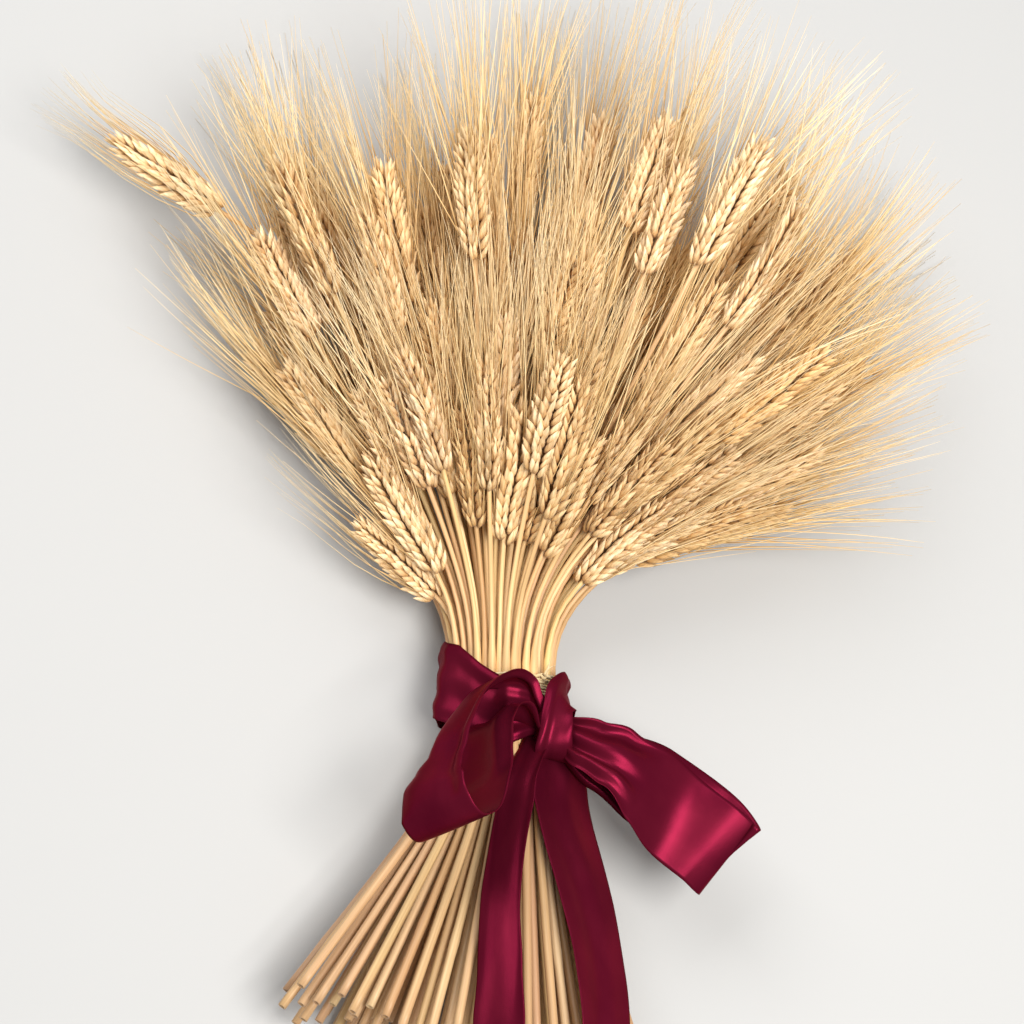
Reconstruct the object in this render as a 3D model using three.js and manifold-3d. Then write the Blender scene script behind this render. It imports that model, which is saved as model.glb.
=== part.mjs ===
// Bundle of dried wheat: bearded wheat stalks lying on their backs on a flat surface, tied at the waist with twine and
// with a wide satin ribbon in a bow. Millimetres. The ears point to +Y, +Z is up and the bow is on top.
import * as THREE from "three";
import { mergeVertices } from "three/addons/utils/BufferGeometryUtils.js";
import Module from "manifold-3d";

const wasm = await Module();
wasm.setup();

// ---- driving dimensions ----
const ROWS = [8, 10, 12, 12, 12, 12, 12, 10, 8, 6, 2]; // stalks in each layer of the waist, from the floor up
const STRAW_R = 2.1; // corner radius of a six-sided straw at the tie
const NECK_R = 1.15; // and just below its ear
const PAIR_STEP = 3.4; // between the two joined stalks of a node
const PAIR_PITCH = 7.4; // between two such pairs in a layer
const ROW_PITCH = 3.7;
const HALF_WAIST = 22.5;
const TWINE = { gap: 0.3, thick: 1.0, from: -5, to: 11 };
const RIBBON = { gap: 0.3, thick: 0.8, width: 38 }; // the width is 1 1/2 inch satin's
const WRAP_OUT = TWINE.gap + TWINE.thick + RIBBON.gap + RIBBON.thick; // from the straws to the ribbon's outside
const BUTT = 152; // from the tie down to the cut ends
const EAR_LENGTH = 62;
const AWN_LENGTH = 62;
const EAR = [[0, 1.2], [0.13, 4.5], [0.45, 5.9], [1, 2.4]]; // share of the ear's length, radius
const REACH = 354; // from the tie to the tips of the longest awns
const GAP = 0.5; // kept between two stalks

// ---- small helpers ----
const lerp = (a, b, t) => a + (b - a) * t;
const clamp = (x, a = 0, b = 1) => Math.min(b, Math.max(a, x));
const smooth = (a, b, x) => {
  const t = clamp((x - a) / (b - a));
  return t * t * (3 - 2 * t);
};
const rad = THREE.MathUtils.degToRad;
let seed = 2027;
const random = (a = 0, b = 1) => {
  seed = (seed * 16807) % 2147483647;
  return lerp(a, b, seed / 2147483647);
};

// ---- where each stalk starts in the waist, and how far it goes ----
const stalks = [];
ROWS.forEach((count, row) => {
  const height = row / (ROWS.length - 1);
  for (let k = 0; k < count; k++) {
    const pair = Math.floor(k / 2);
    const a =
      (pair - (count / 2 - 1) / 2) * PAIR_PITCH + ((row % 2 ? 1 : -1) * PAIR_PITCH) / 8 + ((k % 2 ? 1 : -1) * PAIR_STEP) / 2;
    const u = a / HALF_WAIST;
    const reach = REACH - (u < 0 ? 115 : 145) * Math.abs(u) ** 3;
    const [least, spread] = row < 4 ? [0, 0.28] : row < 9 ? [0.05, 0.4] : [0.36, 0.14];
    const tip = reach * (1 - least - spread * random());
    const earLength = EAR_LENGTH * random(0.88, 1.1);
    const awn = AWN_LENGTH * random(0.9, 1.1);
    stalks.push({
      row, k, pair, u, height, earLength, awn,
      a,
      b: WRAP_OUT + STRAW_R + row * ROW_PITCH,
      ear: Math.max(50 + random(0, 16), tip - awn - earLength),
      butt: -(BUTT + random(-8, 6)),
      turn: random(-3, 3), // degrees, of its own
      rise: random(-1.5, 2.5),
      flare: 0,
      turnFrom: 60,
      roll: random(-0.5, 0.5),
    });
  }
});
const stalkAt = (row, k) => stalks.find((s) => s.row === row && s.k === k);
Object.assign(stalkAt(3, 2), { ear: 258, flare: 4, turn: -46, turnFrom: 110, rise: -5, awn: 34 }); // the long one at the far upper left
for (const [row, ear] of [[3, 176], [4, 172], [5, 186]]) stalkAt(row, 1).ear = ear; // long ones beside it
Object.assign(stalkAt(5, 0), { ear: 47, flare: -30, earLength: 54, awn: 50 }); // the low one that bends out at the left
for (const s of stalks) s.tip = s.ear + s.earLength + s.awn;

function radius(stalk, s) {
  if (s < stalk.ear) return lerp(STRAW_R, NECK_R, smooth(20, 95, s));
  const e = (s - stalk.ear) / stalk.earLength;
  if (e > 1) return lerp(EAR.at(-1)[1], 0.4, clamp((s - stalk.ear - stalk.earLength) / stalk.awn));
  const i = EAR.findIndex(([at]) => at > e);
  const [[e0, r0], [e1, r1]] = i < 0 ? EAR.slice(-2) : [EAR[i - 1], EAR[i]];
  return lerp(r0, r1, (e - e0) / (e1 - e0));
}

// ---- the fan: the way each stalk goes, as knots a step apart along it ----
const KNOT = 20;
const FIRST = -9; // knot numbers, below and above the tie
const LAST = 19;
const HELD = 12; // the straws run side by side this far each way from the tie's middle
const bend = (s, u) => 1 - Math.exp(-((Math.max(0, s - HELD - 3) / (31 + 14 * Math.max(0, u))) ** 1.5));
const bendBelow = (s) => 1 - Math.exp(-((Math.max(0, s - HELD) / 22) ** 1.4));

function fan(stalk) {
  const knots = [];
  for (const way of [-1, 1]) {
    let [x, y, z] = [stalk.a, 0, stalk.b];
    const last = way < 0 ? -FIRST : LAST;
    for (let n = 0; n <= last; n++) {
      if (n || way > 0) knots[way * n - FIRST] = new THREE.Vector3(x, y, z + (way > 0 ? 0.3 : -WRAP_OUT) * smooth(20, 70, n * KNOT));
      for (let i = 0; i < 4; i++) {
        const s = n * KNOT + ((i + 0.5) * KNOT) / 4;
        const side =
          way > 0
            ? (13 + 60 * stalk.u + 3 * stalk.u ** 2 + stalk.turn * smooth(stalk.turnFrom, stalk.turnFrom + 100, s) + stalk.flare * smooth(20, 60, s)) * bend(s, stalk.u)
            : (-11 + 28 * stalk.u + 0.3 * clamp(stalk.turn, -3, 3)) * bendBelow(s);
        const up =
          way > 0
            ? (36 * stalk.height ** 1.1 + stalk.rise * smooth(60, 160, s)) * bend(s, stalk.u) * (1 - 0.35 * smooth(80, 260, s))
            : 17 * stalk.height * bendBelow(s);
        const h = KNOT / 4;
        x += h * Math.sin(rad(side)) * Math.cos(rad(up));
        y += way * h * Math.cos(rad(side)) * Math.cos(rad(up));
        z += h * Math.sin(rad(up));
      }
    }
  }
  return knots;
}

// Stalks that the fan puts too close together push each other aside, outside the tie.
const ROUNDS = 180;
const SMOOTHED = 110; // the first rounds also even out each stalk's own line
function settle() {
  const count = LAST - FIRST + 1;
  const start = stalks.map(fan);
  const line = start.map((knots) => knots.map((p) => p.clone()));
  const thick = stalks.map((stalk) =>
    line[0].map((_, n) => {
      const s = (n + FIRST) * KNOT;
      if (s < stalk.butt - KNOT || s > stalk.tip + KNOT / 2) return 0;
      return Math.max(radius(stalk, s - 9), radius(stalk, s), radius(stalk, s + 9));
    }),
  );
  const [along, away, near] = [0, 1, 2].map(() => new THREE.Vector3());
  for (let round = 0; round < ROUNDS; round++) {
    const push = line.map((knots) => knots.map(() => new THREE.Vector3()));
    for (let i = 0; i < stalks.length; i++)
      for (let j = 0; j < stalks.length; j++) {
        if (i === j) continue;
        const mates = stalks[i].row === stalks[j].row && stalks[i].pair === stalks[j].pair;
        for (let n = 0; n < count - 1; n++) {
          // knot m of stalk i against the stretch n to n + 1 of stalk j
          for (const m of [n, n + 1]) {
            if (Math.abs(m + FIRST) < 2 || !thick[i][m] || !thick[j][n] || !thick[j][n + 1]) continue;
            along.subVectors(line[j][n + 1], line[j][n]);
            away.subVectors(line[i][m], line[j][n]);
            if (Math.abs(away.x) > 40 || Math.abs(away.z) > 40) continue;
            const t = clamp(away.dot(along) / along.lengthSq());
            near.copy(line[j][n]).addScaledVector(along, t);
            away.subVectors(line[i][m], near);
            const s = Math.abs(m + FIRST) * KNOT;
            const need = thick[i][m] + lerp(thick[j][n], thick[j][n + 1], t) + GAP - (mates ? 2.5 * (1 - smooth(20, 60, s)) : 0);
            const d = away.length();
            if (d >= need) continue;
            away.multiplyScalar((0.22 * (need - d)) / Math.max(d, 0.1));
            push[i][m].add(away);
            push[j][n].addScaledVector(away, t - 1);
            push[j][n + 1].addScaledVector(away, -t);
          }
        }
      }
    for (let i = 0; i < stalks.length; i++) {
      const moved = line[i].map((p, n) => p.clone().sub(start[i][n]).add(push[i][n]));
      for (let n = 0; n < count; n++) {
        if (Math.abs(n + FIRST) < 2) continue;
        line[i][n].copy(moved[n]);
        if (round < SMOOTHED && n > 0 && n < count - 1) line[i][n].multiplyScalar(0.88).addScaledVector(moved[n - 1], 0.06).addScaledVector(moved[n + 1], 0.06);
        line[i][n].add(start[i][n]);
        line[i][n].z = Math.max(line[i][n].z, radius(stalks[i], (n + FIRST) * KNOT), STRAW_R);
      }
    }
  }
  stalks.forEach((stalk, i) => {
    stalk.line = line[i];
  });
}
settle();

// A point of a stalk's middle line, s millimetres from the tie along it.
function at(stalk, s) {
  const t = s / KNOT - FIRST;
  const n = clamp(Math.floor(t), 0, stalk.line.length - 2);
  return stalk.line[n].clone().lerp(stalk.line[n + 1], t - n);
}
const UP = new THREE.Vector3(0, 0, 1);
function axes(stalk, s) {
  const along = at(stalk, s + 6).sub(at(stalk, s - 6)).normalize();
  const side = along.clone().cross(UP).normalize();
  return [side, along, side.clone().cross(along)];
}

// ---- solids ----
function solid(geometry) {
  geometry.deleteAttribute("normal");
  geometry.deleteAttribute("uv");
  const merged = mergeVertices(geometry, 1e-4);
  const mesh = new wasm.Mesh({
    numProp: 3,
    vertProperties: new Float32Array(merged.attributes.position.array),
    triVerts: new Uint32Array(merged.index.array),
  });
  return new wasm.Manifold(mesh);
}
function geometryOf(manifold) {
  const mesh = manifold.getMesh();
  const geometry = new THREE.BufferGeometry();
  geometry.setAttribute("position", new THREE.BufferAttribute(mesh.vertProperties, 3));
  geometry.setIndex(new THREE.BufferAttribute(mesh.triVerts, 1));
  geometry.computeVertexNormals();
  return geometry;
}

// A turned profile of [s, radius] rings, bent along the stalk. The awns leave its middle line by off(s), [aside, up].
function bent(stalk, rings, sides, off = () => [0, 0]) {
  const geometry = new THREE.LatheGeometry(rings.map(([s, r]) => new THREE.Vector2(r, s)), sides);
  const position = geometry.attributes.position;
  for (let i = 0; i < position.count; i++) {
    const [x, s, z] = [position.getX(i), position.getY(i), position.getZ(i)];
    const [side, , up] = axes(stalk, s);
    const [dx, dz] = off(s);
    const p = at(stalk, s).addScaledVector(side, x + dx).addScaledVector(up, z + dz);
    position.setXYZ(i, p.x, p.y, p.z);
  }
  return geometry;
}

const STRAW_RINGS = [-60, -20, -10, 10, 20, 40, 60, 80, 130];
function stalkSolid(stalk) {
  const ear = EAR.map(([e]) => stalk.ear + e * stalk.earLength);
  const straw = STRAW_RINGS.filter((s) => s < stalk.ear - 10);
  const rings = [stalk.butt, ...straw, ...ear].map((s, i, all) => [s, i < all.length - ear.length ? radius(stalk, s) : EAR[i - all.length + ear.length][1]]);
  return sideAwns(stalk).reduce((sum, awn) => sum.add(awn), solid(bent(stalk, [[stalk.butt, 0], ...rings, [stalk.tip, 0]], 6)));
}

// Up to AWNS side awns on an ear, in those directions where they stay clear of every other stalk and awn.
const AWNS = 2;
const AWN_R = 1.0;
const SPREAD = [15, 11]; // from the stalk's middle line at an awn's tip: the first try, and then closer
const awnPoints = [];
function sideAwns(stalk) {
  const found = [];
  for (let k = 0; k < 10 && found.length < AWNS; k++) {
    const from = stalk.ear + stalk.earLength * (0.45 + 0.2 * (k % 3));
    const to = from + stalk.awn * 1.05;
    const way = 2.4 * k + 2 * Math.PI * stalk.roll;
    const spread = SPREAD[k < 6 ? 0 : 1];
    const off = (s) => {
      const d = spread * clamp((s - from) / (to - from));
      return [d * Math.cos(way), d * Math.sin(way)];
    };
    const points = [0.35, 0.5, 0.65, 0.8, 1].map((t) => {
      const s = lerp(from, to, t);
      const [side, , up] = axes(stalk, s);
      const [dx, dz] = off(s);
      return at(stalk, s).addScaledVector(side, dx).addScaledVector(up, dz);
    });
    if (points.some((p) => p.z < AWN_R + 0.3 || nearOther(stalk, p))) continue;
    for (const p of points) awnPoints.push([stalk, p]);
    found.push(solid(bent(stalk, [[from, 0], [from + 4, AWN_R], [to, 0]], 3, off)));
  }
  return found;
}
function nearOther(stalk, p) {
  const spare = AWN_R + 1.2;
  const line = new THREE.Line3();
  const near = new THREE.Vector3();
  for (const other of stalks) {
    if (other === stalk) continue;
    for (let n = 0; n < other.line.length - 1; n++) {
      const s = (n + FIRST) * KNOT;
      if (s > other.tip || Math.abs(other.line[n].y - p.y) > 45) continue;
      line.set(other.line[n], other.line[n + 1]);
      const t = line.closestPointToPointParameter(p, true);
      line.at(t, near);
      if (s + t * KNOT < other.tip + 2 && near.distanceTo(p) < radius(other, s + t * KNOT) + spare) return true;
    }
  }
  return awnPoints.some(([other, q]) => other !== stalk && q.distanceTo(p) < 2 * AWN_R + 6);
}

const material = {
  straw: new THREE.MeshStandardMaterial({ color: "#c9a873", roughness: 0.75, metalness: 0 }),
  ear: new THREE.MeshStandardMaterial({ color: "#dfc08a", roughness: 0.8, metalness: 0 }),
  twine: new THREE.MeshStandardMaterial({ color: "#d9c08c", roughness: 0.85, metalness: 0 }),
  satin: new THREE.MeshStandardMaterial({ color: "#6e1230", roughness: 0.35, metalness: 0 }),
};

const group = new THREE.Group();
group.name = "dried_wheat_bundle";
const bundle = new THREE.Group();
bundle.name = "bundle";
group.add(bundle);
function add(name, geometry, look) {
  const mesh = new THREE.Mesh(geometry, look);
  mesh.name = name;
  bundle.add(mesh);
}

// ---- the stalks, two to a node ----
let node = 0;
for (let i = 0; i < stalks.length; i += 2) {
  node += 1;
  add(`wheat_stalks_${String(node).padStart(2, "0")}`, geometryOf(stalkSolid(stalks[i]).add(stalkSolid(stalks[i + 1]))), material.ear);
}

// ---- the tie: straight prisms round the waist, with the outline of the held straws ----
const held = [];
for (const stalk of stalks)
  for (const s of [-20, -12, 0, 12, 24]) {
    const p = at(stalk, s);
    held.push([p.x, p.z]);
  }
// The straws' outline at a distance out from them, as a ring of corners.
function outline(out, corners = 40) {
  const angle = (i) => (2 * Math.PI * (i + 0.5)) / corners;
  const reach = (i) => Math.max(...held.map(([x, z]) => x * Math.cos(angle(i)) + z * Math.sin(angle(i)))) + STRAW_R + out;
  return Array.from({ length: corners }, (_, i) => {
    const [a0, a1, r0, r1] = [angle(i), angle(i + 1), reach(i), reach(i + 1)];
    const d = Math.sin(a1 - a0);
    return new THREE.Vector2((r0 * Math.sin(a1) - r1 * Math.sin(a0)) / d, (r1 * Math.cos(a0) - r0 * Math.cos(a1)) / d);
  });
}
function prismAlongY(shape, from, to) {
  const geometry = new THREE.ExtrudeGeometry(shape, { depth: to - from, bevelEnabled: false, steps: 1 });
  geometry.rotateX(Math.PI / 2); // the outline's second axis turns to Z, and the depth to -Y
  geometry.translate(0, to, 0);
  return solid(geometry);
}
function band(gap, thick, from, to) {
  const shape = new THREE.Shape(outline(gap + thick));
  shape.holes.push(new THREE.Path(outline(gap)));
  return prismAlongY(shape, from, to);
}
// What lies over a polygon in plan, through the whole height.
function column(points) {
  const geometry = new THREE.ExtrudeGeometry(new THREE.Shape(points.map(([x, y]) => new THREE.Vector2(x, y))), { depth: 200, bevelEnabled: false });
  geometry.translate(0, 0, -50);
  return solid(geometry);
}

const twine = band(TWINE.gap, TWINE.thick, TWINE.from, TWINE.to);
const turn = band(TWINE.gap + TWINE.thick + RIBBON.gap, RIBBON.thick, -17, 28)
  .subtract(column([[-60, 29], [-26, 28], [-4, 9], [10, 5], [26, 9], [60, 9], [60, 60], [-60, 60]]))
  .subtract(column([[-60, -10], [-26, -11], [6, -16], [60, -12], [60, -60], [-60, -60]]));

// ---- the bow ----
// The height of the straws' upper side over a point, or of the ribbon's turn.
function topAt(x, y) {
  let top = 0;
  for (const stalk of stalks) {
    const rings = [stalk.butt, ...STRAW_RINGS.slice(0, 6)];
    for (let n = 1; n < rings.length; n++) {
      const [p, q] = [at(stalk, rings[n - 1]), at(stalk, rings[n])];
      if ((y - p.y) * (y - q.y) > 0) continue;
      const t = (y - p.y) / (q.y - p.y);
      const dx = x - lerp(p.x, q.x, t);
      const r = STRAW_R + 0.3;
      if (Math.abs(dx) < r) top = Math.max(top, lerp(p.z, q.z, t) + Math.sqrt(r * r - dx * dx));
    }
  }
  return top;
}

// A strip of ribbon as one bent plate. Each station is [middle point, direction of the width, width].
function strip(stations, steps) {
  const middle = new THREE.CatmullRomCurve3(stations.map(([p]) => new THREE.Vector3(...p)), false, "centripetal");
  const share = stations.map((_, i) => i / (stations.length - 1));
  const between = (t, pick) => {
    const i = clamp(share.findIndex((x) => x >= t) - 1, 0, stations.length - 2);
    const k = (t - share[i]) / (share[i + 1] - share[i]);
    const e = k * k * (3 - 2 * k);
    return pick(stations[i]).clone().lerp(pick(stations[i + 1]), e);
  };
  const geometry = new THREE.BoxGeometry(1, 1, 1, steps, 1, 1);
  const position = geometry.attributes.position;
  for (let i = 0; i < position.count; i++) {
    const t = clamp(position.getX(i) + 0.5);
    const along = middle.getTangent(t);
    const across = between(t, (s) => new THREE.Vector3(...s[1]).normalize());
    across.addScaledVector(along, -across.dot(along)).normalize();
    const width = between(t, (s) => new THREE.Vector3(s[2], 0, 0)).x;
    const p = middle.getPoint(t).addScaledVector(across, position.getY(i) * width).addScaledVector(along.cross(across), position.getZ(i) * RIBBON.thick);
    position.setXYZ(i, p.x, p.y, p.z);
  }
  return solid(geometry);
}
// A tail's station: it lies on the straws, tilted by tilt degrees (its right edge lower where tilt is positive).
function lying(x, y, tilt, width = RIBBON.width) {
  const across = [Math.cos(rad(tilt)), 0, -Math.sin(rad(tilt))];
  let z = 0;
  for (let t = -0.5; t <= 0.5; t += 0.1)
    for (let near = 16; near >= -12; near -= 4) z = Math.max(z, topAt(x + t * width * across[0], y + near) + 2.2 - t * width * across[2]);
  return [[x, y, z], across, width];
}

const KNOT_AT = new THREE.Vector3(16, -14, topAt(13, -8) + WRAP_OUT + 4);
function knot() {
  const geometry = new THREE.BoxGeometry(2, 2, 2, 5, 5, 5);
  const position = geometry.attributes.position;
  for (let i = 0; i < position.count; i++) {
    const p = new THREE.Vector3().fromBufferAttribute(position, i);
    const size = (Math.abs(p.x) ** 3 + Math.abs(p.y) ** 3 + Math.abs(p.z) ** 3) ** (1 / 3);
    position.setXYZ(i, (p.x * 8) / size + KNOT_AT.x, (p.y * 12) / size + KNOT_AT.y, (p.z * 7.5) / size + KNOT_AT.z);
  }
  return solid(geometry);
}
const kz = KNOT_AT.z;
const loopLeft = strip(
  [
    [[12, -12, kz], [0.3, 0.6, 0.75], 11],
    [[7.5, -3, kz + 2.5], [0.45, 0.4, 0.8], 12],
    [[3.5, 4, kz + 4], [0.52, 0.3, 0.8], 14],
    [[-4.5, 5.5, kz + 9.5], [0.5, 0.25, 0.83], 17],
    [[-13.5, 1.5, kz + 17], [0.45, 0.2, 0.87], 19],
    [[-22.3, -6.6, kz + 29], [0.45, 0.2, 0.87], 18],
    [[-33.6, -23.7, kz + 44.5], [0.594, 0.207, 0.779], 20.5],
    [[-37, -33, kz + 48.5], [0.594, 0.207, 0.779], 22.5],
    [[-40.5, -39.8, kz + 50.5], [0.594, 0.207, 0.779], 29],
    [[-43, -46.5, kz + 52.5], [0.594, 0.207, 0.779], 36],
    [[-42.5, -57, kz + 55], [0.594, 0.207, 0.779], 38],
    [[-36.5, -63.5, kz + 52], [0.594, 0.207, 0.779], 38],
    [[-28.5, -60, kz + 45], [0.594, 0.207, 0.779], 38],
    [[-22.6, -45.6, kz + 36.5], [0.594, 0.207, 0.779], 38],
    [[-19.6, -31, kz + 27], [0.594, 0.207, 0.779], 36],
    [[-15.5, -16, kz + 19], [0.594, 0.207, 0.779], 33],
    [[-4, -9, kz + 10], [0.5, 0.3, 0.8], 25],
    [[12, -15, kz - 1], [0.1, -0.3, 0.95], 11],
  ],
  48,
);
const loopRight = strip(
  [
    [[19, -14, kz + 1], [0.05, -0.97, 0.1], 13],
    [[31, -21, kz + 9], [-0.26, -0.87, 0.35], 24],
    [[42.5, -27, kz + 13], [-0.27, -0.86, 0.38], 32],
    [[56, -38, kz + 10.5], [-0.31, -0.92, 0.12], 38],
    [[70, -51, kz + 5.5], [-0.46, -0.87, -0.15], 38],
    [[84, -62, kz + 6.5], [-0.57, -0.77, -0.25], 38],
    [[91, -67, kz + 3], [-0.58, -0.76, -0.28], 38],
    [[86, -56, kz - 3.5], [-0.5, -0.82, -0.25], 38],
    [[60, -36, kz - 3.5], [-0.35, -0.9, -0.15], 36],
    [[39, -25, kz - 2.5], [-0.22, -0.97, -0.05], 28],
    [[19, -16, kz - 2], [-0.05, -0.97, -0.05], 14],
  ],
  36,
);
const TAIL_END = -158;
const tailLeft = strip([[[11, -16, kz - 2], [0.9, 0, 0.44], 12], lying(2, -34, -26, 13), lying(-2, -48, -30, 16), lying(-7, -68, -30, 16), lying(-11, -90, -30, 17), lying(-12.5, -117, -30, 19), lying(-13.5, -140, -30, 22), lying(-14, TAIL_END, -30, 24)], 18);
const tailRight = strip([[[16, -20, kz - 3], [0.9, 0, -0.44], 18], lying(19.5, -31, 32, 30), lying(21.5, -43, 36, 35), lying(24.5, -60, 38, 35), lying(29, -84, 38, 34), lying(33, -112, 38, 32), lying(34.5, -137, 38, 31), lying(35.5, TAIL_END, 38, 31)], 18);
const inside = prismAlongY(new THREE.Shape(outline(TWINE.gap + TWINE.thick + RIBBON.gap)), -17, 26).add(prismAlongY(new THREE.Shape(outline(WRAP_OUT + 1)), -48, -17));
const ribbon = [loopLeft, loopRight, tailLeft, tailRight].reduce((sum, piece) => sum.add(piece), knot()).subtract(inside).add(turn);

add("twine_tie", geometryOf(twine), material.twine);
add("ribbon_bow", geometryOf(ribbon), material.satin);

const box = new THREE.Box3().setFromObject(bundle);
bundle.position.set(-(box.min.x + box.max.x) / 2, -(box.min.y + box.max.y) / 2, -box.min.z);

export default group;
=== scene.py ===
# A bundle of dried bearded wheat that lies on its back. It is tied at the waist with twine, and a wide satin
# ribbon goes round it and ends in a bow.
import math
import random

import bmesh
import bpy
import numpy as np
from mathutils import Matrix, Vector


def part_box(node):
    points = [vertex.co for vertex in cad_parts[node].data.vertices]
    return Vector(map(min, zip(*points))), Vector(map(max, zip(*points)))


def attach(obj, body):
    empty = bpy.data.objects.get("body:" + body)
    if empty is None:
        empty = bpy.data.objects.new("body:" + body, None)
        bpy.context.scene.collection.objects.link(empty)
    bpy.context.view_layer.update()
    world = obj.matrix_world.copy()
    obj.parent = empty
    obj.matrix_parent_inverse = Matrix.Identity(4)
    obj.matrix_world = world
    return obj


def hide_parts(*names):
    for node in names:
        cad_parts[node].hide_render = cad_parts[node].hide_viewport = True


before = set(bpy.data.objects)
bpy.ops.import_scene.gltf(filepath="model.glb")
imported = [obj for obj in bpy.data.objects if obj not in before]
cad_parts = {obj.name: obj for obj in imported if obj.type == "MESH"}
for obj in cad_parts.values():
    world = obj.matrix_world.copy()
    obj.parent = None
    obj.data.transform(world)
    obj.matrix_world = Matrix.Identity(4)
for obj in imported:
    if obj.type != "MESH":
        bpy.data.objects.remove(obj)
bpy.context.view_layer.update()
MM = 0.001

# ---- the sheaf's dimensions, in millimetres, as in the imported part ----
# Along a stalk, s counts from the tie: up to the ear where it is positive, down to the cut end where it is
# negative.
ROWS = [8, 10, 12, 12, 12, 12, 12, 10, 8, 6, 2]  # stalks in each layer of the waist, from the floor up
STRAW_R, NECK_R = 2.1, 1.15  # a straw's radius at the tie and under its ear
PAIR_STEP, PAIR_PITCH, ROW_PITCH = 3.4, 7.4, 3.7  # between two stalks of a pair, two pairs and two layers
HALF_WAIST = 22.5
TWINE_GAP, TWINE_THICK, TWINE_FROM, TWINE_TO = 0.3, 1.0, -5, 11
RIBBON_GAP, RIBBON_THICK, RIBBON_WIDTH = 0.3, 0.8, 38
WRAP_OUT = TWINE_GAP + TWINE_THICK + RIBBON_GAP + RIBBON_THICK
BUTT = 152  # from the tie to the cut ends
REACH = 354  # from the tie to the furthest bristle tips
REACH_LESS_LEFT, REACH_LESS_RIGHT = 115, 145  # how much nearer the outermost tips are
EAR_LENGTH, AWN_LENGTH = 62, 62
SHORTEST = 50  # from the tie to the lowest ears
EAR = [(0, 1.2), (0.13, 4.5), (0.45, 5.9), (1, 2.4)]  # an ear's radius by the share of its length
AWN_TIP_R = 0.4
GAP = 0.5  # between two stalks
KNOT = 20  # between the knots of a stalk's middle line
FIRST, LAST = -9, 19  # its first and last knot
HELD = 12  # the tie holds the straws straight this far from its middle
ROUNDS, SMOOTHED = 180, 110  # rounds of settling, and how many of them also even the lines out
# Stalks that the photograph shows on their own, by layer and place in it.
OWN_WAY = {
    # the far upper left one
    (3, 2): dict(ear=258, flare=4, turn=-46, turn_from=110, rise=-5, awn=34, close=0.5),
    # three long ones beside it
    (3, 1): dict(ear=176),
    (4, 1): dict(ear=172),
    (5, 1): dict(ear=186),
    # the low one that bends out at the left
    (5, 0): dict(ear=47, flare=-30, ear_length=54, awn=50, close=0.55),
}


def lerp(a, b, t):
    return a + (b - a) * t


def smooth(a, b, x):
    t = np.clip((x - a) / (b - a), 0, 1)
    return t * t * (3 - 2 * t)


class Dice:
    """The same even numbers, from the same start, as the part's source draws."""

    def __init__(self, seed):
        self.seed = seed

    def __call__(self, a=0.0, b=1.0):
        self.seed = self.seed * 16807 % 2147483647
        return lerp(a, b, self.seed / 2147483647)


class Stalk:
    """One wheat stalk: its place in the waist, where its ear begins, how it bends and its middle line."""


def plant():
    """The stalks in the order of the CAD's nodes, two to a node."""
    dice, stalks = Dice(2027), []
    for row, count in enumerate(ROWS):
        for k in range(count):
            s = Stalk()
            s.row, s.pair, s.height = row, k // 2, row / (len(ROWS) - 1)
            s.a = (s.pair - (count / 2 - 1) / 2) * PAIR_PITCH
            s.a += (1 if row % 2 else -1) * PAIR_PITCH / 8
            s.a += (1 if k % 2 else -1) * PAIR_STEP / 2
            s.b = WRAP_OUT + STRAW_R + row * ROW_PITCH
            s.u = s.a / HALF_WAIST  # -1 at the waist's left edge, 1 at its right edge
            reach = REACH - (REACH_LESS_LEFT if s.u < 0 else REACH_LESS_RIGHT) * abs(s.u) ** 3
            # The layers near the floor are the longest, and the top ones the shortest.
            least, spread = (0, 0.28) if row < 4 else (0.05, 0.4) if row < 9 else (0.36, 0.14)
            tip = reach * (1 - least - spread * dice())
            s.ear_length = EAR_LENGTH * dice(0.88, 1.1)
            s.awn = AWN_LENGTH * dice(0.9, 1.1)
            s.ear = max(SHORTEST + dice(0, 16), tip - s.awn - s.ear_length)
            s.butt = -(BUTT + dice(-8, 6))
            s.turn, s.rise, s.flare = dice(-3, 3), dice(-1.5, 2.5), 0
            s.turn_from, s.close = 60, 1
            dice(-0.5, 0.5)  # the part rolls its ears by this one
            for name, value in OWN_WAY.get((row, k), {}).items():
                setattr(s, name, value)
            s.tip = s.ear + s.ear_length + s.awn
            stalks.append(s)
    return stalks


def radius(stalk, s):
    if s < stalk.ear:
        return lerp(STRAW_R, NECK_R, smooth(20, 95, s))
    e = (s - stalk.ear) / stalk.ear_length
    if e > 1:
        return lerp(EAR[-1][1], AWN_TIP_R, min(1, (s - stalk.ear - stalk.ear_length) / stalk.awn))
    return float(np.interp(e, *zip(*EAR)))


def bend(s, u):
    """How much of its bend a stalk has, s above the tie. The right ones bend more slowly."""
    return 1 - math.exp(-((max(0, s - HELD - 3) / (31 + 14 * max(0, u))) ** 1.5))


def bend_below(s):
    return 1 - math.exp(-((max(0, s - HELD) / 22) ** 1.4))


def heading_above(stalk, s):
    """Where a stalk heads, s above the tie, in degrees to the side and up."""
    side = (13 + 60 * stalk.u + 3 * stalk.u**2
            + stalk.turn * smooth(stalk.turn_from, stalk.turn_from + 100, s)
            + stalk.flare * smooth(20, 60, s)) * bend(s, stalk.u)
    up = (36 * stalk.height**1.1 + stalk.rise * smooth(60, 160, s)) * bend(s, stalk.u)
    return side, up * (1 - 0.35 * smooth(80, 260, s))


def heading_below(stalk, s):
    side = (-11 + 28 * stalk.u + 0.3 * max(-3, min(3, stalk.turn))) * bend_below(s)
    return side, 17 * stalk.height * bend_below(s)


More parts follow.
